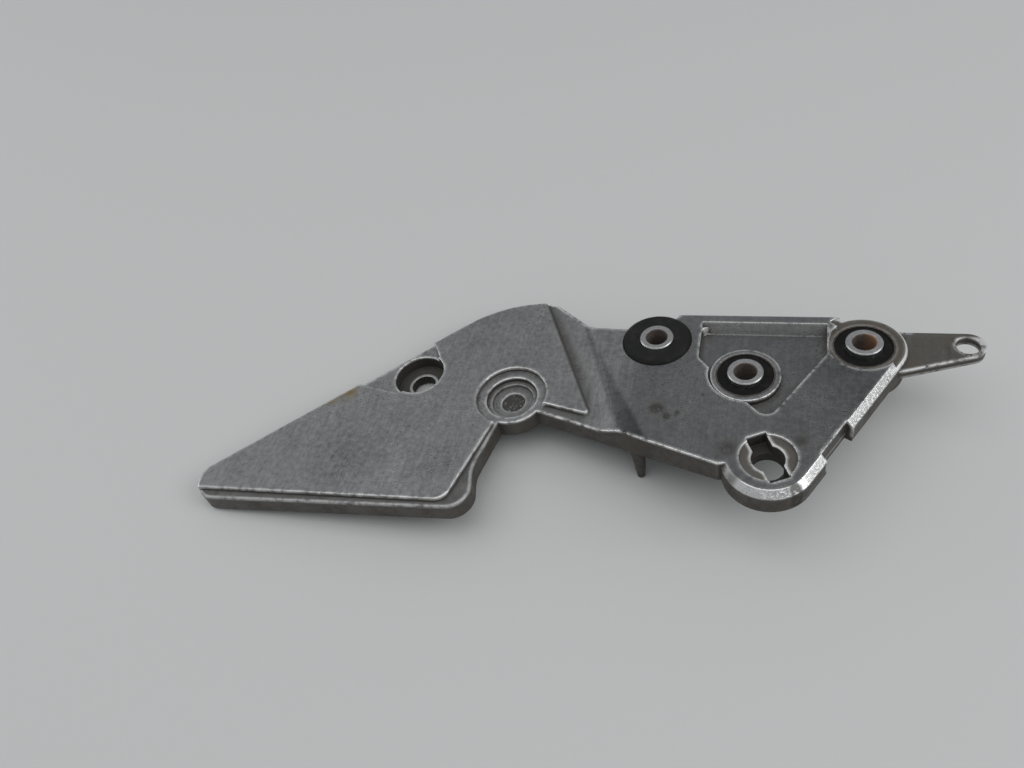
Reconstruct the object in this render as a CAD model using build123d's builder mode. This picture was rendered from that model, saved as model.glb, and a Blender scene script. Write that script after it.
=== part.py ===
import os
from math import acos, asin, atan2, degrees, radians, tan

from build123d import *

os.makedirs("parts", exist_ok=True)

# Motorcycle footrest hanger: one aluminium casting with three rubber bushes.
# The origin is on the axis of the footrest bore, in the outer face of the mount plate.
# X runs along the top edge of the plate, away from the heel guard, and Z points outward.

# Heights of the casting
casting_depth = 10.0
ledge_drop = 2.0
panel_height = 2.0
skirt_wall = 4.0
heel_skin = 3.5
pocket_skin = 3.0
rib_setback = 1.5
rib_width = 3.0
heel_rib_inset = Vector(-8.0, 8.0)
tip_rib_inset = Vector(60.0, 5.0)
crown_rib_inset = Vector(-10.0, -5.0)

# Bosses of the casting, as centres and radii
footrest_boss_radius = 16.3
bush_1_at = (-45.3, 55.2)
bush_1_boss_radius = 14.2
bush_2_at = (-9.7, 39.1)
bush_2_boss_radius = 13.2
bush_3_at = (32.8, 56.2)
bush_3_boss_radius = 15.5
bush_boss_depth = 14.0
hole_a_at = (-144.3, 32.3)
hole_a_boss_radius = 12.5
hole_a_boss_depth = 12.0
hole_b_at = (-100.4, 23.0)
hole_b_boss_radius = 13.4

# Corners of the heel guard, in order from its tip
tip_bottom = (-222.5, -37.9)
tip_top = (-222.5, -25.2)
tip_radius = 7.5
heel_corner = (-103.5, -30.9)
heel_corner_radius = 9.0
heel_waist = (-107.6, -13.0)
heel_waist_radius = 12.0
crown_radius = 54.0
crown_flat = 1.184
crown_end = (-92.5, 77.0)
crown_end_radius = 1.5

# Edges of the neck and the mount plate
neck_far_left = (-74.0, 61.3)
neck_far_right = (-57.0, 61.3)
neck_far_radius = 5.0
neck_near_left = (-94.0, 18.1)
neck_near_right = (-17.0, -4.5)
plate_far_edge = 71.2
plate_far_left = -37.0
plate_far_right = 24.0
edge_chamfer = 2.5
far_edge_round = 1.6
ledge_round = 0.8
notch_depth = 2.7
notch_start = 11.0
notch_length = 17.5

# Facets of the neck, between a crease in the valley and a break line on the plate
crease_far = Vector(-73.3, 61.4, 0.5)
crease_near = Vector(-61.5, 9.0, -ledge_drop)
light_slope = 10.0
ramp_slope = 28.0
break_far = Vector(-47.0, 40.4, 0.0)
break_near = Vector(-14.0, -3.4, 0.0)
break_slope = 3.5
facet_stock = 4.0

# Raised panel of the heel guard
panel_heel = (-86.0, 19.2)
panel_near_left = (-282.5, -37.0)
panel_corner = (-114.0, -29.5)
panel_corner_radius = 6.0
panel_neck = (-66.0, 14.6)
panel_neck_radius = 1.5
panel_crown = (-96.0, 76.3)
panel_crown_run = 2.0
panel_crown_radius = 5.0
panel_gap = 1.0
panel_round = 0.7
recess_near_left = (-175.0, 25.6)
recess_near_right = (-149.0, 20.8)
recess_far_right = (-138.0, 42.5)
recess_far_left = (-144.0, 52.0)
recess_radius = 3.0

# Pocket of the mount plate
pocket_depth = 4.0
pocket_far = 63.3
pocket_bank = 3.3
pocket_left = -28.0
pocket_right = 19.8
pocket_jog = (-23.6, 41.5)
pocket_jog_start = 46.5
pocket_lobe = (-0.8, 16.8)
pocket_flank = 58.7
pocket_saddle = (-12.0, 28.0)
pocket_corner_radius = 3.0
pocket_lobe_radius = 4.0
seat_2_drop = 1.0
seat_2_radius = 14.0
seat_3_drop = 1.5
seat_3_radius = 13.2
seat_3_rim = 1.2
seat_3_turn = 15.0

# Holes for bolts
hole_a_rim = 11.1
hole_a_depth = 6.0
hole_a_radius = 5.25
hole_b_rim = 10.6
hole_b_step_radius = 8.6
hole_b_step_depth = 2.2
hole_b_depth = 3.4
hole_b_blind_radius = 5.0
hole_b_blind_depth = 1.2

# Footrest bore with its two key slots
footrest_bore_radius = 5.9
footrest_seat_radius = 9.9
footrest_seat_depth = 1.0
key_width = 7.5
key_reach = 10.4
key_depth = 6.0
key_angle = 116.0

# Tab at the far end of the plate
tab_drop = 4.0
tab_thickness = 3.8
tab_tip = (69.1, 60.3)
tab_tip_radius = 6.1
tab_taper = 18.7
tab_hole_radius = 4.3
tab_root = 30.0

# Peg under the neck
peg_at = (-47.9, 8.3)
peg_length = 18.5
peg_root_radius = 3.3
peg_tip_radius = 1.6

# Bushes
seat_bore_radius = 11.15
sleeve_wall = 0.6
rubber_drop = 0.4
collar_radius = 6.75
collar_bore_radius = 4.25
collar_chamfer = 0.4
collar_proud = 1.0
collar_back = 1.5
flange_radius = 14.0
flange_face_radius = 12.3
flange_height = 1.6
flange_gap = 0.3
collar_1_proud = 2.2


def crease_plane(far, near):
    """Plane across a crease, with x to the right of it and y up."""
    along = near - far
    return Plane(origin=near, x_dir=Vector(0, 0, 1).cross(along), z_dir=along)


def edge_near_point(part, point):
    """Edge of a part that lies nearest to a point."""
    return part.edges().sort_by_distance(point)[0]


def round_corner(sketch, point, radius):
    """Round the corner of a sketch that lies nearest to a point."""
    fillet(sketch.vertices().sort_by_distance(point)[0], radius=radius)


# The right edge of the plate touches the footrest boss and the corner boss
boss_span = Vector(*bush_3_at)
edge_angle = degrees(
    atan2(boss_span.Y, boss_span.X)
    - acos((footrest_boss_radius - bush_3_boss_radius) / boss_span.length)
)
edge_normal = Vector(1, 0, 0).rotate(Axis.Z, edge_angle)
edge_along = Vector(0, 1, 0).rotate(Axis.Z, edge_angle)
edge_near = edge_normal * footrest_boss_radius
edge_far = boss_span + edge_normal * bush_3_boss_radius

pocket_rise = (pocket_right - pocket_lobe[0]) * tan(radians(pocket_flank))

# The far edge of the heel guard runs from its tip to touch the round crown
crown_centre = Vector(crown_end[0] - crown_flat, crown_end[1] - crown_radius)
tip_to_crown = crown_centre - Vector(*tip_top)
crown_turn = degrees(
    atan2(tip_to_crown.Y, tip_to_crown.X) + asin(crown_radius / tip_to_crown.length)
)

# Plan of the whole casting
with BuildSketch() as plan:
    with BuildLine():
        crown = CenterArc(crown_centre, crown_radius, start_angle=90, arc_size=crown_turn)
        Polyline(
            crown @ 1,
            tip_top,
            tip_bottom,
            heel_corner,
            heel_waist,
            hole_b_at,
            neck_near_left,
            neck_near_right,
            (0, 0),
            edge_near,
            edge_far,
            bush_3_at,
            (plate_far_right, plate_far_edge),
            (plate_far_left, plate_far_edge),
            bush_1_at,
            neck_far_right,
            neck_far_left,
            crown_end,
            crown @ 0,
        )
    make_face()
    round_corner(plan, tip_bottom, tip_radius)
    round_corner(plan, tip_top, tip_radius)
    round_corner(plan, heel_corner, heel_corner_radius)
    round_corner(plan, heel_waist, heel_waist_radius)
    round_corner(plan, crown_end, crown_end_radius)
    round_corner(plan, neck_far_left, neck_far_radius)
    with Locations(hole_b_at):
        Circle(hole_b_boss_radius)
    with Locations(bush_1_at):
        Circle(bush_1_boss_radius)
    with Locations(bush_3_at):
        Circle(bush_3_boss_radius)
    Circle(footrest_boss_radius)

# Limits well outside the plan, for cuts that run past it
box = plan.sketch.bounding_box()
left, right = 2 * box.min.X, 2 * box.max.X
near, far = 2 * box.min.Y, 2 * box.max.Y
span = box.diagonal

with BuildSketch() as hollow:
    add(plan.sketch)
    offset(amount=-skirt_wall)

# Plan of the raised panel, with its notch round hole B and the recess at hole A
with BuildSketch() as panel:
    with BuildLine():
        Polyline(
            panel_corner,
            hole_b_at,
            panel_heel,
            panel_neck,
            panel_crown,
            (panel_crown[0] - panel_crown_run * (far - panel_crown[1]), far),
            (left, far),
            panel_near_left,
            close=True,
        )
    make_face()
    round_corner(panel, panel_corner, panel_corner_radius)
    round_corner(panel, panel_neck, panel_neck_radius)
    round_corner(panel, panel_crown, panel_crown_radius)
    add(plan.sketch, mode=Mode.INTERSECT)
    with Locations(hole_b_at):
        Circle(hole_b_boss_radius + panel_gap, mode=Mode.SUBTRACT)

with BuildSketch() as recess:
    with BuildLine():
        Polyline(
            recess_near_left,
            recess_near_right,
            hole_a_at,
            recess_far_right,
            recess_far_left,
            (recess_far_left[0], far),
            (recess_near_left[0] + recess_near_left[1] - far, far),
            close=True,
        )
    make_face()
    round_corner(recess, recess_near_right, recess_radius)
    round_corner(recess, recess_far_left, recess_radius)

# Plan of the pocket, which runs round the middle bush and into the corner boss
with BuildSketch() as pocket:
    with BuildLine():
        Polyline(
            (pocket_left, pocket_far),
            (pocket_left, pocket_jog_start),
            pocket_jog,
            bush_2_at,
            pocket_saddle,
            pocket_lobe,
            (pocket_right, pocket_lobe[1] + pocket_rise),
            (pocket_right, pocket_far),
            close=True,
        )
    make_face()
    round_corner(pocket, (pocket_left, pocket_far), pocket_corner_radius)
    round_corner(pocket, (pocket_left, pocket_jog_start), pocket_corner_radius)
    round_corner(pocket, pocket_lobe, pocket_lobe_radius)
    with Locations(bush_2_at):
        Circle(seat_2_radius)

# Plan of the face round the corner bush
with BuildSketch() as corner_face:
    with Locations(bush_3_at):
        Circle(bush_3_boss_radius + seat_3_rim)
        Rectangle(
            4 * seat_3_radius,
            2 * seat_3_radius,
            rotation=edge_angle - seat_3_turn,
            align=(Align.CENTER, Align.MIN),
            mode=Mode.INTERSECT,
        )
        Circle(seat_3_radius)

with BuildPart() as hanger:
    # Neck and mount plate above the ledge
    with BuildSketch(Plane.XY.offset(-ledge_drop)):
        add(plan.sketch)
        with BuildLine():
            Polyline(
                (panel_neck[0], near),
                panel_neck,
                panel_crown,
                (panel_crown[0], far),
                (right, far),
                (right, near),
                close=True,
            )
        make_face(mode=Mode.INTERSECT)
    extrude(amount=ledge_drop + facet_stock)
    with BuildSketch(crease_plane(break_far, break_near)):
        with BuildLine():
            Polyline(
                (0, 0),
                (span, 0),
                (span, span),
                (-span, span),
                (-span, span * tan(radians(break_slope))),
                close=True,
            )
        make_face()
    extrude(amount=span, both=True, mode=Mode.SUBTRACT)
    with BuildSketch(crease_plane(crease_far, crease_near)):
        with BuildLine():
            Polyline(
                (0, 0),
                (span / tan(radians(ramp_slope)), span),
                (-span, span),
                (-span, -span * tan(radians(light_slope))),
                close=True,
            )
        make_face()
    extrude(amount=span, both=True, mode=Mode.SUBTRACT)
    # Slab under the ledge, and the panel on it
    with BuildSketch(Plane.XY.offset(-casting_depth)):
        add(plan.sketch)
    extrude(amount=casting_depth - ledge_drop)
    with BuildSketch(Plane.XY.offset(-ledge_drop)):
        add(panel.sketch)
        add(recess.sketch, mode=Mode.SUBTRACT)
    extrude(amount=panel_height)

    # Wide chamfer along the right edge and round the footrest boss
    right_middle = (edge_near + edge_far) / 2
    boss_end = (0, -footrest_boss_radius)
    chamfer(
        [edge_near_point(hanger, right_middle), edge_near_point(hanger, boss_end)],
        length=edge_chamfer,
    )

    # Soft edges of the panel, the ledge and the far edge of the plate
    panel_rim = [
        edge
        for edge in hanger.edges().filter_by(Plane.XY)
        if edge.center().X < panel_neck[0] + 1 and abs(edge.center().Z) < 0.001
    ]
    fillet(panel_rim, radius=panel_round)
    ledge_middle = (Vector(*tip_bottom) + Vector(*heel_corner)) / 2 - Vector(0, 0, ledge_drop)
    fillet(edge_near_point(hanger, ledge_middle), radius=ledge_round)
    far_middle = ((plate_far_left + plate_far_right) / 2, plate_far_edge)
    fillet(edge_near_point(hanger, far_middle), radius=far_edge_round)

    # Notch in the right edge, as deep as the chamfer
    with BuildSketch(Plane(origin=edge_near, x_dir=edge_along, z_dir=(0, 0, 1))):
        with Locations((notch_start + notch_length / 2, 0)):
            Rectangle(notch_length, 2 * notch_depth)
    extrude(amount=casting_depth + facet_stock, both=True, mode=Mode.SUBTRACT)

    # Hollow back: deep under the heel guard and shallow under the pocket
    for limit, skin in ((left, ledge_drop + heel_skin), (right, pocket_depth + pocket_skin)):
        with BuildSketch(Plane.XY.offset(-casting_depth)):
            add(hollow.sketch)
            with BuildLine():
                Polyline(
                    (crease_near.X, near),
                    (crease_near.X, crease_near.Y),
                    (crease_far.X, crease_far.Y),
                    (crease_far.X, far),
                    (limit, far),
                    (limit, near),
                    close=True,
                )
            make_face(mode=Mode.INTERSECT)
        extrude(amount=casting_depth - skin, mode=Mode.SUBTRACT)

    # Tab with its round tip
    with BuildSketch(Plane.XY.offset(-tab_drop - tab_thickness)):
        tip = Vector(*tab_tip)
        tip_far = tip + Vector(0, tab_tip_radius)
        tip_near = tip + Vector(0, -tab_tip_radius).rotate(Axis.Z, tab_taper)
        root_near = tip_near + Vector(-tab_root, 0).rotate(Axis.Z, tab_taper)
        with BuildLine():
            Polyline(tip_far, (root_near.X, tip_far.Y), root_near, tip_near, tip, close=True)
        make_face()
        with Locations(tab_tip):
            Circle(tab_tip_radius)
            Circle(tab_hole_radius, mode=Mode.SUBTRACT)
    extrude(amount=tab_thickness)

    # Bosses that stand on the hollow back
    with BuildSketch(Plane.XY.offset(-bush_boss_depth)):
        with Locations(bush_1_at):
            Circle(bush_1_boss_radius)
        with Locations(bush_2_at):
            Circle(seat_2_radius)
        with Locations(bush_3_at):
            Circle(bush_3_boss_radius)
    extrude(amount=bush_boss_depth - pocket_depth - pocket_skin / 2)
    with BuildSketch(Plane.XY.offset(-hole_a_boss_depth)):
        with Locations(hole_a_at):
            Circle(hole_a_boss_radius)
    extrude(amount=hole_a_boss_depth - ledge_drop)
    with BuildSketch(Plane.XY.offset(-casting_depth)):
        with Locations(hole_b_at):
            Circle(hole_b_boss_radius)
        Circle(footrest_boss_radius)
    extrude(amount=casting_depth - ledge_drop - pocket_skin)

    # Stiffening ribs between the bosses of the heel guard
    with BuildSketch(Plane.XY.offset(-casting_depth + rib_setback)):
        with BuildLine():
            Line(hole_a_at, hole_b_at)
            Line(hole_a_at, Vector(*heel_corner) + heel_rib_inset)
            Line(hole_a_at, Vector(*tip_bottom) + tip_rib_inset)
            Line(hole_b_at, Vector(*crown_end) + crown_rib_inset)
        trace(line_width=rib_width)
    extrude(amount=casting_depth - rib_setback - ledge_drop - heel_skin / 2)

    # Pocket with a sloping far bank, and the step round the middle bush
    with BuildSketch():
        add(pocket.sketch)
    extrude(amount=-pocket_depth, mode=Mode.SUBTRACT)
    with BuildSketch(Plane.YZ.offset(pocket_left)):
        with BuildLine():
            Polyline(
                (pocket_far, -pocket_depth),
                (pocket_far, 0),
                (pocket_far + pocket_bank, 0),
                close=True,
            )
        make_face()
    extrude(amount=pocket_right - pocket_left, mode=Mode.SUBTRACT)
    with BuildSketch(Plane.XY.offset(-pocket_depth)):
        with Locations(bush_2_at):
            Circle(bush_2_boss_radius)
    extrude(amount=pocket_depth - seat_2_drop)

    # Face round the corner bush, which runs out to the edge of its boss
    with BuildSketch():
        add(corner_face.sketch)
    extrude(amount=-seat_3_drop, mode=Mode.SUBTRACT)

    # Seats of the three bushes, and the flat under the flange
    with BuildSketch():
        with Locations(bush_1_at):
            Circle(flange_radius + flange_gap)
    extrude(amount=facet_stock, mode=Mode.SUBTRACT)
    with BuildSketch():
        with Locations(bush_1_at, bush_2_at, bush_3_at):
            Circle(seat_bore_radius)
    extrude(amount=-bush_boss_depth, mode=Mode.SUBTRACT)

    # Holes of the heel guard
    with Locations(Location((*hole_a_at, -ledge_drop))):
        CounterBoreHole(hole_a_radius, hole_a_rim, hole_a_depth)
    with BuildSketch():
        with Locations(hole_a_at):
            Circle(hole_a_rim)
    extrude(amount=-ledge_drop, mode=Mode.SUBTRACT)
    with BuildSketch(Plane.XY.offset(-ledge_drop)):
        with Locations(hole_b_at):
            Circle(hole_b_rim)
    extrude(amount=-hole_b_step_depth, mode=Mode.SUBTRACT)
    with BuildSketch(Plane.XY.offset(-ledge_drop)):
        with Locations(hole_b_at):
            Circle(hole_b_step_radius)
    extrude(amount=-hole_b_depth, mode=Mode.SUBTRACT)
    with BuildSketch(Plane.XY.offset(-ledge_drop)):
        with Locations(hole_b_at):
            Circle(hole_b_blind_radius)
    extrude(amount=-hole_b_depth - hole_b_blind_depth, mode=Mode.SUBTRACT)

    # Footrest bore, its worn seat and its key slots
    with BuildSketch():
        Circle(footrest_seat_radius)
    extrude(amount=-footrest_seat_depth, mode=Mode.SUBTRACT)
    with BuildSketch():
        Rectangle(2 * key_reach, key_width, rotation=key_angle)
    extrude(amount=-key_depth, mode=Mode.SUBTRACT)
    with BuildSketch():
        Circle(footrest_bore_radius)
    extrude(amount=-casting_depth, mode=Mode.SUBTRACT)

    # Tapered peg under the neck
    with BuildSketch(Plane.XZ.offset(-peg_at[1])):
        with BuildLine():
            Polyline(
                (peg_at[0], -pocket_depth - pocket_skin / 2),
                (peg_at[0] + peg_root_radius, -pocket_depth - pocket_skin / 2),
                (peg_at[0] + peg_root_radius, -casting_depth),
                (peg_at[0] + peg_tip_radius, -casting_depth - peg_length),
                (peg_at[0], -casting_depth - peg_length),
                close=True,
            )
        make_face()
    revolve(axis=Axis((peg_at[0], peg_at[1], 0), (0, 0, 1)))

# Bush under the neck side of the plate: its flange covers the boss
with BuildPart() as rubber_1:
    with BuildSketch(Plane.XY.offset(-bush_boss_depth)):
        with Locations(bush_1_at):
            Circle(seat_bore_radius)
    extrude(amount=bush_boss_depth)
    with BuildSketch(Plane.XZ.offset(-bush_1_at[1])):
        with BuildLine():
            Polyline(
                (bush_1_at[0], 0),
                (bush_1_at[0] + flange_radius, 0),
                (bush_1_at[0] + flange_face_radius, flange_height),
                (bush_1_at[0], flange_height),
                close=True,
            )
        make_face()
    revolve(axis=Axis((bush_1_at[0], bush_1_at[1], 0), (0, 0, 1)))
    with BuildSketch(Plane.XY.offset(flange_height)):
        with Locations(bush_1_at):
            Circle(collar_radius)
    extrude(amount=-bush_boss_depth - flange_height, mode=Mode.SUBTRACT)


def sleeve(place, top):
    """Thin steel sleeve pressed into its seat."""
    with BuildPart() as shell:
        with BuildSketch(Plane.XY.offset(-bush_boss_depth)):
            with Locations(place):
                Circle(seat_bore_radius)
                Circle(seat_bore_radius - sleeve_wall, mode=Mode.SUBTRACT)
        extrude(amount=bush_boss_depth - top)
    return shell.part


def rubber(place, top):
    """Rubber ring between its sleeve and its collar."""
    with BuildPart() as ring:
        with BuildSketch(Plane.XY.offset(rubber_drop - bush_boss_depth)):
            with Locations(place):
                Circle(seat_bore_radius - sleeve_wall)
                Circle(collar_radius, mode=Mode.SUBTRACT)
        extrude(amount=bush_boss_depth - top - 2 * rubber_drop)
    return ring.part


def collar(place, top):
    """Steel collar that takes the bolt, with chamfered mouths."""
    with BuildPart() as tube:
        with BuildSketch(Plane.XY.offset(-bush_boss_depth - collar_back)):
            with Locations(place):
                Circle(collar_radius)
                Circle(collar_bore_radius, mode=Mode.SUBTRACT)
        extrude(amount=bush_boss_depth + collar_back + top)
        chamfer(tube.edges().filter_by(GeomType.CIRCLE), length=collar_chamfer)
    return tube.part


pieces = {
    "hanger": hanger.part,
    "rubber_1": rubber_1.part,
    "collar_1": collar(bush_1_at, collar_1_proud),
    "sleeve_2": sleeve(bush_2_at, seat_2_drop),
    "rubber_2": rubber(bush_2_at, seat_2_drop),
    "collar_2": collar(bush_2_at, collar_proud),
    "sleeve_3": sleeve(bush_3_at, seat_3_drop),
    "rubber_3": rubber(bush_3_at, seat_3_drop),
    "collar_3": collar(bush_3_at, collar_proud),
}
for name, piece in pieces.items():
    piece.label = name
    export_step(piece, f"parts/{name}.step")
    print(name, round(piece.volume), "mm3 in", len(piece.solids()), "solid")
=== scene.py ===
# %% [markdown]
# # A worn motorcycle footrest hanger
#
# The hanger is one aluminium casting. It was polished once, and years of road dirt, boots and heat
# have dulled it. Three rubber bushes with steel collars sit in its mount plate. The solids already
# have the right shape, so this lesson is mostly about metal: how polish, pits, scratches, grime and
# bright worn edges are built up from small procedural patterns.

# %% Load the frame
import math

import bpy
from mathutils import Matrix, Vector

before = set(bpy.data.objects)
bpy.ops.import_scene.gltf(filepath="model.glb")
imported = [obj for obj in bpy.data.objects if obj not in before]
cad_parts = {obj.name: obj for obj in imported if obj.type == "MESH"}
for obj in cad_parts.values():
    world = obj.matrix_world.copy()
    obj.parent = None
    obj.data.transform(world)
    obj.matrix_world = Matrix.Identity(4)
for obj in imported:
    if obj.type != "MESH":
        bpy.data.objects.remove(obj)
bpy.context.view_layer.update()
print("Nodes:", ", ".join(sorted(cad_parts)))

# %% [markdown]
# ## The camera
#
# The camera looks down on the part at about 46 degrees, from the side of the footrest bore. A camera
# is a position and three directions. It looks along its own minus Z, so the matrix takes the image's
# right, the image's up and the direction back towards the viewer as its columns. One metre is the
# unit, and a focal length of 800 pixels on an image 1024 pixels wide is 28.125 mm on a 36 mm film.

# %% Camera
MM = 0.001
FILM_WIDTH = 36.0
IMAGE_WIDTH = 1024
FOCAL_PIXELS = 800

bpy.ops.object.select_all(action="DESELECT")
bpy.ops.object.camera_add(location=(0, 0, 0))
camera = bpy.context.object
camera.name = "camera"
camera.data.sensor_width = FILM_WIDTH
camera.data.lens = FOCAL_PIXELS * FILM_WIDTH / IMAGE_WIDTH
camera.data.clip_start = 0.01
camera.data.clip_end = 20.0

camera_place = Vector((0.9, -174.5, 237.0)) * MM
image_right = Vector((0.95, 0.235, -0.208)).normalized()
backwards = Vector((0.311, -0.618, 0.722))
backwards = (backwards - image_right * backwards.dot(image_right)).normalized()
image_up = backwards.cross(image_right)
turn = Matrix((image_right, image_up, backwards)).transposed().to_4x4()
camera.matrix_world = Matrix.Translation(camera_place) @ turn
bpy.context.scene.camera = camera
print("Lens:", round(camera.data.lens, 3), "mm")

# %% [markdown]
# ## Floor and light
#
# The floor is a plain pale sheet. The hanger touches it with the tip of its peg, the tip of its skirt
# and the back of a boss. Those three points, measured on the meshes, give the way the sheet faces.
# The lowest vertex along that way gives its height, so nothing pokes through it.
#
# The light is soft: a wide lamp overhead, one on each side, and a pale sky. Bare metal has almost no
# colour of its own to show, so what it shows is this light. The side lamps draw the bright lines on
# the rounded edges. The left lamp hangs low where the floor rises, so it is made flat enough to stay
# above the floor.

# %% Floor
bpy.context.scene.view_settings.view_transform = "Standard"

FLOOR_SIZE = 6.0
FLOOR_GAP = 0.2
peg_tip = Vector((-49.07, 9.39, -28.5))
skirt_tip = Vector((-220.86, -23.73, -10.0))
boss_back = Vector((-153.75, 40.49, -12.0))
upright = (boss_back - peg_tip).cross(skirt_tip - peg_tip).normalized()
lowest = min(
    vertex.co.dot(upright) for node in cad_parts.values() for vertex in node.data.vertices
)

bpy.ops.object.select_all(action="DESELECT")
bpy.ops.mesh.primitive_plane_add(size=FLOOR_SIZE, location=upright * (lowest - FLOOR_GAP * MM))
floor = bpy.context.object
floor.name = "floor"
floor.rotation_euler = upright.to_track_quat("Z", "Y").to_euler()
print("The floor leans by", round(math.degrees(math.acos(upright.z)), 1), "degrees")
print("It is", round(-lowest / MM, 1), "mm from the origin")


# %% Lamps
def soft_lamp(name, place, aim, width, height, watts):
    """A rectangular lamp at place, turned to face aim."""
    bpy.ops.object.select_all(action="DESELECT")
    bpy.ops.object.light_add(type="AREA", location=place)
    lamp = bpy.context.object
    lamp.name = name
    lamp.data.shape = "RECTANGLE"
    lamp.data.size = width
    lamp.data.size_y = height
    lamp.data.energy = watts
    lamp.rotation_euler = (Vector(aim) - Vector(place)).to_track_quat("-Z", "Y").to_euler()
    print(name, "gives", watts, "W")


part_middle = (-0.07, 0.02, 0.0)
soft_lamp("lamp_above", (-0.10, -0.25, 1.5), part_middle, 2.2, 1.3, 12.0)
soft_lamp("lamp_right", (1.30, -0.10, 0.90), part_middle, 0.9, 0.9, 8.0)
soft_lamp("lamp_left", (-1.35, 0.05, 0.46), part_middle, 0.8, 0.45, 2.5)

# %% [markdown]
# ## Shader maths as plain expressions
#
# A node tree is easier to read as arithmetic. A Wire stands for one output of one node. Adding,
# multiplying or subtracting Wires adds the Math node that does it, so `1 - dirt * 0.5` is a real
# part of the material. Every other kind of node comes from the one method `node` of a Bench, which
# holds the tree of one material.

# %% A wire that can be calculated with
class Wire:
    """One output of a node in a material."""

    def __init__(self, bench, socket):
        self.bench = bench
        self.socket = socket

    def math(self, operation, *values, clamp=False):
        sockets = {number: value for number, value in enumerate(values)}
        settings = {"operation": operation, "use_clamp": clamp}
        return self.bench.node("ShaderNodeMath", settings, sockets)

    def __add__(self, other):
        return self.math("ADD", self, other)

    def __radd__(self, other):
        return self.math("ADD", other, self)

    def __sub__(self, other):
        return self.math("SUBTRACT", self, other)

    def __rsub__(self, other):
        return self.math("SUBTRACT", other, self)

    def __mul__(self, other):
        return self.math("MULTIPLY", self, other)

    def __rmul__(self, other):
        return self.math("MULTIPLY", other, self)

    def power(self, exponent):
        return self.math("POWER", self, exponent)

    def least(self, other):
        return self.math("MINIMUM", self, other)

    def most(self, other):
        return self.math("MAXIMUM", self, other)

    def clamped(self):
        return self.math("ADD", self, 0.0, clamp=True)


# %% A bench for one material
class Bench:
    """The node tree of one material, with the shader that every finish here uses."""

    def __init__(self, name):
        self.material = bpy.data.materials.new(name)
        self.material.use_nodes = True
        self.tree = self.material.node_tree
        self.shader = self.tree.nodes["Principled BSDF"]

    def node(self, kind, settings=None, sockets=None, output=0):
        made = self.tree.nodes.new(kind)
        for name, value in (settings or {}).items():
            setattr(made, name, value)
        for name, value in (sockets or {}).items():
            self.feed(made.inputs[name], value)
        return Wire(self, made.outputs[output])

    def feed(self, socket, value):
        if isinstance(value, Wire):
            self.tree.links.new(value.socket, socket)
        else:
            socket.default_value = value

    def finish(self, **sockets):
        for name, value in sockets.items():
            self.feed(self.shader.inputs[name.replace("_", " ")], value)
        return self.material


# %% [markdown]
# ## Places on the part
#
# Wear isn't even: it belongs to places. Object coordinates of a part that sits at the origin are
# its real coordinates, so a thousand times them is a place in millimetres. A `Metal` bench knows
# x, y and z in millimetres, and makes masks from them: a soft round spot, a soft half-plane, and
# noise of a given grain size. A mask is 1 where something is and 0 where it isn't.

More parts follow.
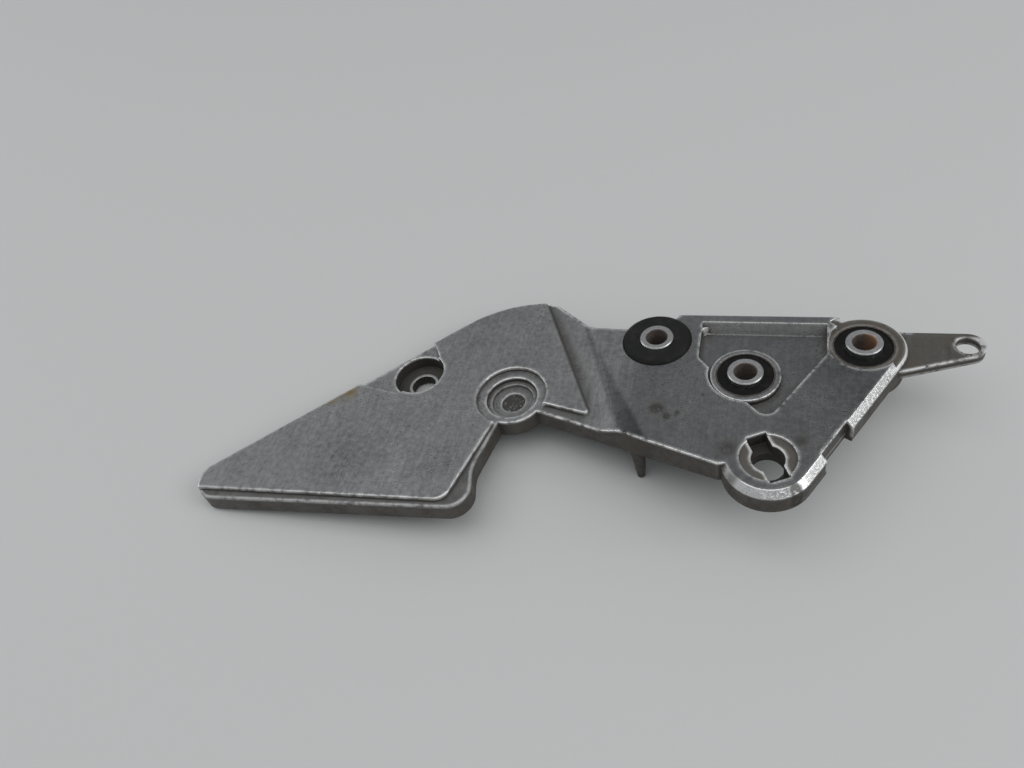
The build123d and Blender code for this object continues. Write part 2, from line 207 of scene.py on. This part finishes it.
# %% Masks by place
class Metal(Bench):
    """A bench that measures places in millimetres."""

    def __init__(self, name):
        super().__init__(name)
        coordinates = self.node("ShaderNodeTexCoord", output="Object")
        self.place = self.node(
            "ShaderNodeVectorMath", {"operation": "SCALE"}, {0: coordinates, "Scale": 1 / MM}
        )
        self.x = self.node("ShaderNodeSeparateXYZ", sockets={0: self.place}, output=0)
        self.y = self.node("ShaderNodeSeparateXYZ", sockets={0: self.place}, output=1)
        self.z = self.node("ShaderNodeSeparateXYZ", sockets={0: self.place}, output=2)

    def ease(self, value, low, high):
        """0 below low, 1 above high, and a smooth step between them."""
        sockets = {"Value": value, "From Min": low, "From Max": high}
        return self.node("ShaderNodeMapRange", {"interpolation_type": "SMOOTHSTEP"}, sockets)

    def fade(self, value, low, high):
        """1 below low, 0 above high, and a smooth step between them."""
        return 1 - self.ease(value, low, high)

    def noise(self, grain, detail=3.0, roughness=0.55, stretch=(1, 1, 1), turn=0.0, shift=0.0):
        """Soft noise around 0.5 whose lumps are about grain millimetres across."""
        moved = self.node(
            "ShaderNodeMapping",
            {"vector_type": "POINT"},
            {
                "Vector": self.place,
                "Location": (shift, shift * 1.7, shift * 0.6),
                "Rotation": (0, 0, math.radians(turn)),
                "Scale": [1 / (grain * longer) for longer in stretch],
            },
        )
        sockets = {"Vector": moved, "Scale": 1.0, "Detail": detail, "Roughness": roughness}
        return self.node("ShaderNodeTexNoise", None, sockets)

    def distance(self, x, y):
        """Distance in the plane of the plate from a point."""
        dx = self.x - x
        dy = self.y - y
        return (dx * dx + dy * dy).power(0.5)

    def spot(self, x, y, radius, soft):
        """A round mask that fades out over soft millimetres."""
        return self.fade(self.distance(x, y), radius - soft / 2, radius + soft / 2)

    def spots(self, *rows):
        """Several round masks as one. Each row is x, y, radius and soft."""
        mask = self.spot(*rows[0])
        for row in rows[1:]:
            mask = mask.most(self.spot(*row))
        return mask

    def from_line(self, start, end):
        """Distance to the right of the line from start to end, less than 0 on its left."""
        along = (Vector(end) - Vector(start)).normalized()
        return (self.x - start[0]) * along.y - (self.y - start[1]) * along.x

    def beyond(self, start, end, soft):
        """A mask of the side to the right of the line from start to end."""
        return self.ease(self.from_line(start, end), -soft / 2, soft / 2)

    def blend(self, mask, first, second):
        """The first colour where the mask is 0 and the second where it is 1."""
        made = self.tree.nodes.new("ShaderNodeMix")
        made.data_type = "RGBA"
        self.feed(made.inputs[0], mask)
        for number, colour in ((6, first), (7, second)):
            value = colour if isinstance(colour, Wire) else (*colour, 1.0)
            self.feed(made.inputs[number], value)
        return Wire(self, made.outputs[2])

    def grey(self, level):
        """A neutral colour from a number."""
        return self.node("ShaderNodeCombineColor", None, {0: level, 1: level, 2: level})

    def bump(self, height, depth, normal=None):
        """A bump of depth millimetres where height goes from 0 to 1."""
        sockets = {"Height": height, "Distance": depth * MM, "Strength": 1.0}
        if normal is not None:
            sockets["Normal"] = normal
        return self.node("ShaderNodeBump", None, sockets)


# %% Named places
FOOTREST_BORE = (0.0, 0.0)
HOLE_A = (-144.3, 32.3)
HOLE_B = (-100.4, 23.0)
BUSH_1 = (-45.3, 55.2)
BUSH_2 = (-9.7, 39.1)
BUSH_3 = (32.8, 56.2)
print("Places in mm: footrest bore, two holes, three bushes")

# %% [markdown]
# ## Floor finish and sky
#
# The floor is matt and pale, with nothing on it. Its brightness is set by its colour, so that the
# lamps can stay at the level that suits the metal. The sky is a weak, even, slightly cool grey. It
# fills the shadows, and it is what the flat metal reflects.

# %% Floor finish and sky
PALE_GREY = (0.475, 0.482, 0.478, 1.0)
SKY_GREY = (0.74, 0.76, 0.78, 1.0)
SKY_STRENGTH = 0.55

floor_finish = Bench("pale_floor")
floor.data.materials.append(floor_finish.finish(Base_Color=PALE_GREY, Roughness=0.75))

world = bpy.data.worlds.new("pale_sky")
bpy.context.scene.world = world
world.use_nodes = True
sky = world.node_tree.nodes["Background"]
sky.inputs["Color"].default_value = SKY_GREY
sky.inputs["Strength"].default_value = SKY_STRENGTH
print("Sky strength:", SKY_STRENGTH)

# %% [markdown]
# ## The casting
#
# Dull aluminium is grey with a grain: large cloudy patches where the polish went first, small
# specks where it corroded, and fine scratches. Four masks shape all of this. `edge` finds convex
# edges, which boots and rags keep bright. `corner` finds hollows and inside corners, which are
# darkened partly for the dirt that stays there and partly as painted shade. `wall` finds the
# vertical sides, which nobody cleans and which are darkened partly as painted shade too, and
# `sloped` finds the chamfers.
#
# The first two come from the Ambient Occlusion node. Looking outwards, it is dark in corners.
# Looking inwards, into the metal, it is bright on flats and dark beside a convex edge. One minus
# either of them is the mask. The other two come from how far up the surface faces. The Bevel node
# rounds the shading of each sharp edge by a fraction of a millimetre, as the mould did.

# %% Casting: masks
casting = Metal("worn_cast_aluminium")
rounded = casting.node("ShaderNodeBevel", {"samples": 6}, {"Radius": 0.7 * MM})
outside = casting.node(
    "ShaderNodeAmbientOcclusion", {"samples": 8}, {"Distance": 5.0 * MM}, output="AO"
)
inside = casting.node(
    "ShaderNodeAmbientOcclusion", {"samples": 8, "inside": True}, {"Distance": 1.6 * MM}, output="AO"
)
corner = casting.fade(outside, 0.35, 0.95)
edge = casting.fade(inside, 0.60, 0.97)
geometry_normal = casting.node("ShaderNodeNewGeometry", output="Normal")
upward = casting.node("ShaderNodeSeparateXYZ", sockets={0: geometry_normal}, output=2)
wall = casting.fade(upward, 0.25, 0.75)
sloped = casting.ease(upward, 0.50, 0.62) * casting.fade(upward, 0.80, 0.92)
print("Masks: edge, corner, wall, sloped")

# %% [markdown]
# ### Regions
#
# Some tones belong to a region. The plate is darker than the panel and darkest at its right side.
# The neck has a dark, smooth band, which is painted shade: on the real neck a face falls away
# there, and the solids leave that out. A strip at the far edge of the plate is a little lighter,
# partly for its polish and partly as a painted highlight on the bank of the pocket. The ledge round
# the panel holds old dirt, the sunk corners of the holes are darkened partly by old dirt and partly
# as painted shade, and the tab has lost all its polish. A line between two points, or a hole's
# centre with a radius and a height, is enough to say where each region is.

# %% Casting: wide regions
RIDGE_LINE = ((-55.0, 8.0), (-75.0, 58.0))
BAND_END_LINE = ((-45.6, 8.1), (-71.5, 54.2))
TAB_ROOT_LINE = ((40.0, 40.0), (54.0, 75.0))
PANEL_NECK_LINE = ((-66.0, 14.6), (-96.0, 76.3))

on_plate = casting.ease(casting.x, -62.0, -46.0)
right_side = casting.ease(casting.x, -5.0, 32.0)
beyond_ridge = casting.beyond(*RIDGE_LINE, 2.0)
beyond_band = casting.beyond(*BAND_END_LINE, 2.5)
# The band is painted shade, where the real neck has a face that falls away
painted_shade_band = beyond_ridge * (1 - beyond_band)
# A lighter far strip: partly polish, partly a painted highlight on the pocket's bank
far_strip_polish_and_highlight = casting.ease(casting.y, 63.5, 65.5) * on_plate
on_tab = casting.beyond(*TAB_ROOT_LINE, 3.0) * casting.fade(casting.z, -3.6, -3.0)
print("Regions: plate, right side, band, strip, tab")

# %% Casting: holes, seats and steps
in_hole_a = casting.spot(*HOLE_A, 11.3, 0.4) * casting.fade(casting.z, -3.2, -2.2)
in_hole_b = casting.spot(*HOLE_B, 10.8, 0.4) * casting.fade(casting.z, -2.9, -2.1)
disc_b = casting.spot(*HOLE_B, 5.1, 0.3) * in_hole_b
in_bore = casting.spot(*FOOTREST_BORE, 10.6, 0.4) * casting.fade(casting.z, -1.9, -1.2)
bore_seat = casting.spot(*FOOTREST_BORE, 9.9, 0.4) * casting.fade(casting.z, -0.9, -0.4)
rim_a = casting.spot(*HOLE_A, 6.4, 0.5) * in_hole_a * (1 - wall)
at_corner_step = casting.ease(casting.z, -2.4, -1.9) * casting.fade(casting.z, -1.3, -0.9)
round_bush_3 = casting.spot(*BUSH_3, 16.0, 0.6) * at_corner_step
bush_rims = casting.spots((*BUSH_2, 12.6, 0.5), (*BUSH_3, 12.6, 0.5))

low_face = casting.ease(casting.z, -2.6, -2.1) * casting.fade(casting.z, -1.8, -0.7)
recess = casting.spot(-154, 38, 21, 3)
ledge = low_face * casting.fade(casting.x, -70.0, -64.0) * (1 - recess)
ledge = ledge * (1 - casting.spot(*HOLE_B, 14.8, 0.5))
beside_panel = casting.from_line(*PANEL_NECK_LINE)
seam = casting.fade(beside_panel.math("ABSOLUTE", beside_panel), 0.5, 1.7)
seam = seam * casting.ease(casting.y, 15.0, 19.0)
print("Regions: holes, bore, seat, corner face, bush rims, ledge, seam")

# %% [markdown]
# ### Polish and grain
#
# Old polish isn't one grey. Noise of falling grain size is added up: clouds of 38 mm, patches of
# 9 mm, mottle of 2.2 mm and specks under 1 mm. Streaks and fine scratches are the same noise,
# stretched one way. Each layer varies around 0.5 and has 0.5 taken off, so `level` alone sets the
# mean tone. Pits are specks cut off hard, so that each stays a small dark dot.

# %% Casting: polish and grain
clouds = casting.noise(38.0, detail=4.0, shift=11.0)
patches = casting.noise(9.0, detail=5.0, roughness=0.6, shift=3.0)
mottle = casting.noise(2.2, detail=4.0, roughness=0.65, shift=7.0)
specks = casting.noise(0.9, detail=3.0, roughness=0.65, shift=5.0)
streaks = casting.noise(1.1, detail=3.0, stretch=(1, 14, 1), turn=8.0, shift=2.0)
fine_scratches = casting.noise(0.45, detail=2.0, stretch=(30, 1, 1), turn=-31.0, shift=9.0)

haze = casting.spots((-162, -17, 12, 24), (-120, -13, 10, 20))
haze = haze.most(casting.spot(-145, 4, 8, 18) * 0.9).most(casting.spot(-99, 38, 8, 14) * 0.8)
# Painted shade: the band darkens the tone
level = 0.290 - 0.085 * on_plate - 0.050 * right_side * on_plate - 0.11 * painted_shade_band
# Painted highlight with some polish: the far strip lightens the tone
level = level + 0.03 * far_strip_polish_and_highlight - 0.06 * haze * casting.ease(patches, 0.35, 0.60)
rough_area = 1 - 0.45 * on_plate - 0.35 * painted_shade_band
grain = (patches - 0.5) * 0.14 + (mottle - 0.5) * 0.26 + (specks - 0.5) * 0.22 + (streaks - 0.5) * 0.14
tone = (level + (clouds - 0.5) * 0.14 + grain * rough_area).most(0.03)
print("Grain: clouds, patches, mottle, specks, streaks, haze")

# %% Casting: pits
pitted = (0.35 + 0.65 * casting.ease(clouds, 0.42, 0.60)).most(haze).most(casting.spot(-45, 33, 11, 16))
pits = casting.ease(specks, 0.52, 0.60) * casting.ease(patches, 0.34, 0.56)
clean_tip = casting.spot(-197, -22, 18, 30)
pits = pits * pitted * (1 - painted_shade_band) * (1 - 0.6 * clean_tip)
print("Pits: few on the band and near the tip")

# %% [markdown]
# ### Dirt by place
#
# Some marks sit in one spot and can't be left to noise: a smudge on the plate, scuffs round the
# footrest bore, a chip on the rim of its boss, painted shade along the right flank of the pocket,
# and a brown stain by the far edge of the panel. Each is made of round spots that noise breaks up,
# so no outline is a circle.

# %% Casting: dirt by place
smudge = casting.spots(
    (-41, 18.8, 3.6, 4.5), (-37, 15.5, 2.2, 3.0), (-33.2, 17.6, 1.2, 2.4), (-24.5, 27.1, 1.0, 2.0)
)
smudge = smudge * casting.ease(patches * 0.5 + specks * 0.5, 0.34, 0.50)

scuffs = casting.spots((-14.0, 2.5, 4.0, 6.0), (10.6, 8.0, 3.0, 5.0), (-11.5, -9.5, 2.6, 4.0))
scuffs = scuffs * casting.ease(mottle, 0.30, 0.50)
chip = casting.spot(9.6, -12.3, 2.4, 1.6) * casting.ease(mottle, 0.34, 0.46)

# Painted shade along the far right flank of the pocket and in front of the middle bush, where the
# flank wall shades the pocket floor
flank_shade = casting.spots((10.0, 34.0, 3.0, 9.0), (-0.8, 24.0, 2.5, 7.0))
flank_shade = flank_shade * casting.fade(casting.z, -3.8, -2.5) * casting.ease(mottle, 0.34, 0.56)

stain = casting.spots((-174, 19.6, 4.4, 5.0), (-180, 15.4, 2.8, 4.0))
stain = stain * casting.ease(patches, 0.30, 0.52) * (1 - wall)
# The marks, with the painted shade of the pocket's flank among them
dirt_and_flank_shade = (smudge * 0.92).most(scuffs * 0.85).most(chip).most(flank_shade * 0.75)
print("Dirt: smudges, scuffs, flank, one chip and one stain")

# %% [markdown]
# ### Colour
#
# Colour is laid on in layers, from the metal up: pits, tarnish on the walls, brown film, grime and
# painted shade in the corners and on the walls, old dirt and painted shade in the sunk places, and
# the marks on top, with painted shade along the pocket's flank. Bare metal comes last, because
# rubbing takes all the rest off an edge. `hidden` keeps it from the edges that nothing rubs.

# %% Casting: layers of dirt
grime_noise = casting.ease(patches * 0.6 + mottle * 0.4, 0.36, 0.64)
near_tip = casting.fade(casting.x, -214.0, -190.0)
# Corners and walls: darkened partly for dirt and partly as painted shade
grime_and_shade = (corner * 0.9 + wall * 0.55 * grime_noise + wall * 0.35).clamped() * (1 - near_tip * 0.45)
# Sunk places: old dirt on the ledge, painted shade at the seam, both in the holes and the bore
sunk_dirt_and_shade = (in_hole_a * 0.95).most(in_hole_b * (0.35 + wall * 0.6)).most(in_bore).most(disc_b)
sunk_dirt_and_shade = sunk_dirt_and_shade.most(ledge * (0.45 + 0.4 * grime_noise)).most(seam * 0.75) * (1 - rim_a * 0.9)
film = round_bush_3.most(bore_seat * 0.8).most(on_tab * (0.45 + 0.5 * grime_noise))
print("Layers: grime, sunk dirt, film")

# %% Casting: worn edges
worn = (edge * casting.ease(mottle * 0.5 + patches * 0.5, 0.36, 0.54)).clamped()
at_bank = casting.ease(casting.y, 58.0, 60.0) * casting.fade(casting.x, 26.0, 30.0)
chamfer = sloped * casting.ease(casting.x, -16.0, -8.0) * (1 - at_bank) * (1 - corner)
chamfer = chamfer * casting.ease(mottle * 0.2 + specks * 0.8, 0.30, 0.42)

# Edges stay dark where nothing rubs them: below, in the holes, round the bushes, beside the panel
hidden = casting.fade(casting.z, -8.5, -6.5).most(in_hole_a).most(in_bore).most(seam)
hidden = hidden.most(bush_rims * 0.8).most(in_hole_b * (1 - disc_b) * 0.75)
hidden = hidden.most(on_tab * casting.ease(casting.y, 63.5, 65.5))
worn = worn.most(chamfer) * (1 - dirt_and_flank_shade * 0.8) * (1 - hidden)
# Light specks painted into the nearly black bottom of hole B: painted highlights
glints = disc_b * casting.ease(specks, 0.56, 0.66)
worn = worn.most(glints * 0.3).most(rim_a * 0.45)
print("Worn: edges, chamfer, one rim and a few glints")

# %% Casting: colour
PIT_DARK = (0.060, 0.058, 0.055)
TARNISH = (0.115, 0.105, 0.090)
BROWN_FILM = (0.075, 0.063, 0.046)
OLD_DIRT_AND_SHADE = (0.038, 0.033, 0.026)
DARK_DIRT_AND_SHADE = (0.022, 0.020, 0.017)
BROWN_STAIN = (0.17, 0.125, 0.045)
BARE_METAL = (0.80, 0.80, 0.79)

colour = casting.blend(pits * 0.70, casting.grey(tone), PIT_DARK)
colour = casting.blend(wall * 0.80, colour, TARNISH)
colour = casting.blend(film * 0.85, colour, BROWN_FILM)
# Painted shade with the grime: corners and walls
colour = casting.blend((grime_and_shade * 0.85).clamped(), colour, OLD_DIRT_AND_SHADE)
# Painted shade with the old dirt: holes, bore and seam
colour = casting.blend(sunk_dirt_and_shade * 0.95, colour, DARK_DIRT_AND_SHADE)
colour = casting.blend(stain * 0.9, colour, BROWN_STAIN)
# Marks, and the painted shade along the pocket's flank
colour = casting.blend(dirt_and_flank_shade, colour, DARK_DIRT_AND_SHADE)
colour = casting.blend(worn * 0.85, colour, BARE_METAL)
print("Colours: metal, pits, tarnish, film, grime, dirt, stain, bare metal")

# %% [markdown]
# ### Gloss and relief
#
# Dirt isn't metal, so the metallic value falls where it lies. It also scatters light, so the
# roughness goes up there, and it goes down on worn edges. The grain feeds a bump of 0.045 mm too,
# enough to break up the reflections and too little to look like a shape of its own.

# %% Casting: gloss and relief
RELIEF_DEPTH = 0.045

metalness = (1 - 0.75 * dirt_and_flank_shade - 0.55 * grime_and_shade - 0.5 * stain - 0.8 * sunk_dirt_and_shade - 0.5 * film).clamped()
gloss = (
    0.40
    - 0.08 * on_plate
    + (mottle - 0.5) * 0.18
    + (grime_and_shade + sunk_dirt_and_shade + film) * 0.22
    + dirt_and_flank_shade * 0.25
    + pits * 0.2
    - worn * 0.12
)
relief = mottle * 0.35 + specks * 0.35 + patches * 0.6 + streaks * 0.2 + fine_scratches * 0.12
relief = relief - pits * 0.8 + wall * (patches + mottle) * 0.8
surface = casting.bump(relief, RELIEF_DEPTH, rounded)
casting.finish(
    Base_Color=colour, Metallic=metalness, Roughness=gloss.clamped(), Normal=surface
)
print("Casting material:", len(casting.tree.nodes), "nodes")

# %% [markdown]
# ## Rubber
#
# The bushes are black rubber, a little greyer where it stands proud. The flange of the first
# one carries faint moulded rings. They are a sine wave of the distance from its axis, fed to the
# bump. Black rubber shows mostly its gloss, so the specular level is kept low.

# %% Rubber
GREY_DUST = (0.030, 0.028, 0.023)
RING_RATE = 3.2

rubber = Metal("black_rubber")
rubber_grain = rubber.noise(0.6, detail=3.0)
rubber_patch = rubber.noise(4.0, detail=4.0, shift=4.0)
rubber_height = rubber.ease(rubber.z, 0.2, 1.4)
rubber_tone = 0.005 + 0.006 * rubber_height + (rubber_patch - 0.5) * 0.008
from_axis = rubber.distance(*BUSH_1)
rings = rubber.node("ShaderNodeMath", {"operation": "SINE"}, {0: from_axis * RING_RATE})
rubber_dust = rubber.ease(rubber_patch, 0.52, 0.70) * 0.25
rubber_colour = rubber.blend(rubber_dust, rubber.grey(rubber_tone.most(0.002)), GREY_DUST)
rubber_round = rubber.node("ShaderNodeBevel", {"samples": 6}, {"Radius": 0.5 * MM})
rubber_relief = rubber_grain * 0.5 + rubber_patch * 0.3 + rings * rubber_height * 0.25
rubber.finish(
    Base_Color=rubber_colour,
    Specular_IOR_Level=0.15,
    Roughness=0.62,
    Normal=rubber.bump(rubber_relief, 0.08, rubber_round),
)
print("Rubber material:", len(rubber.tree.nodes), "nodes")

# %% [markdown]
# ## Collars and sleeves
#
# The collars are dull steel tubes, clean where the washers rub and rusty in the bore. One material
# serves all three, so its rust uses the distance from the nearest bush axis. The corner collar has
# brighter rust on one half of its bore. The thin sleeves round the rubber are rusty in patches.


# %% Steel collars
def from_nearest_axis(bench):
    """Distance from the nearest of the three bush axes."""
    near = bench.distance(*BUSH_1).least(bench.distance(*BUSH_2))
    return near.least(bench.distance(*BUSH_3))


DARK_RUST = (0.060, 0.040, 0.027)
ORANGE_RUST = (0.22, 0.100, 0.034)

steel = Metal("dull_steel")
collar_bore = steel.fade(from_nearest_axis(steel), 4.35, 4.9)
steel_patch = steel.noise(1.6, detail=5.0, roughness=0.65)
steel_fine = steel.noise(0.35, detail=2.0, shift=6.0)
rust = (collar_bore * (0.45 + steel_patch)).clamped()
rust = rust.most(steel.ease(steel_patch, 0.60, 0.72) * 0.45)
steel_colour = steel.grey(0.40 + (steel_patch - 0.5) * 0.25 + (steel_fine - 0.5) * 0.15)
corner_rust = steel.spot(*BUSH_3, 9.0, 1.0) * steel.ease(steel.x, 31.5, 35.5)
rust_colour = steel.blend(corner_rust, DARK_RUST, ORANGE_RUST)
steel_colour = steel.blend(rust * 0.9, steel_colour, rust_colour)
steel_round = steel.node("ShaderNodeBevel", {"samples": 6}, {"Radius": 0.25 * MM})
steel.finish(
    Base_Color=steel_colour,
    Metallic=(1 - rust * 0.85).clamped(),
    Roughness=(0.36 + rust * 0.35 + (steel_patch - 0.5) * 0.2).clamped(),
    Normal=steel.bump(steel_patch * 0.6 + steel_fine * 0.4, 0.04, steel_round),
)
print("Steel material:", len(steel.tree.nodes), "nodes")

# %% Thin sleeves
SLEEVE_STEEL = (0.120, 0.112, 0.105)
SLEEVE_RUST = (0.040, 0.029, 0.020)

sleeve = Metal("rusty_sleeve")
sleeve_patch = sleeve.noise(1.3, detail=5.0, roughness=0.65, shift=8.0)
sleeve_rust = sleeve.ease(sleeve_patch, 0.38, 0.58)
sleeve_colour = sleeve.blend(sleeve_rust, SLEEVE_STEEL, SLEEVE_RUST)
sleeve.finish(
    Base_Color=sleeve_colour,
    Metallic=(0.85 - sleeve_rust * 0.6).clamped(),
    Roughness=(0.42 + sleeve_rust * 0.3).clamped(),
    Normal=sleeve.bump(sleeve_patch, 0.05),
)
print("Sleeve material:", len(sleeve.tree.nodes), "nodes")

# %% [markdown]
# ## Finishes onto the nodes
#
# Every node keeps its mesh. Its material slots get the new finishes. The first word of a node's name
# says which one.

# %% Dress the nodes
FINISHES = {"hanger": casting, "rubber": rubber, "collar": steel, "sleeve": sleeve}
for name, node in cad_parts.items():
    finish = FINISHES[name.split("_")[0]].material
    for slot in node.material_slots:
        slot.material = finish
    print(name, "wears", finish.name)

# %% [markdown]
# ## Sizes
#
# The dressed part keeps the size of the solids: after loading, nothing here moves or scales a node.

# %% Sizes
print("Sizes: the nodes keep their meshes")
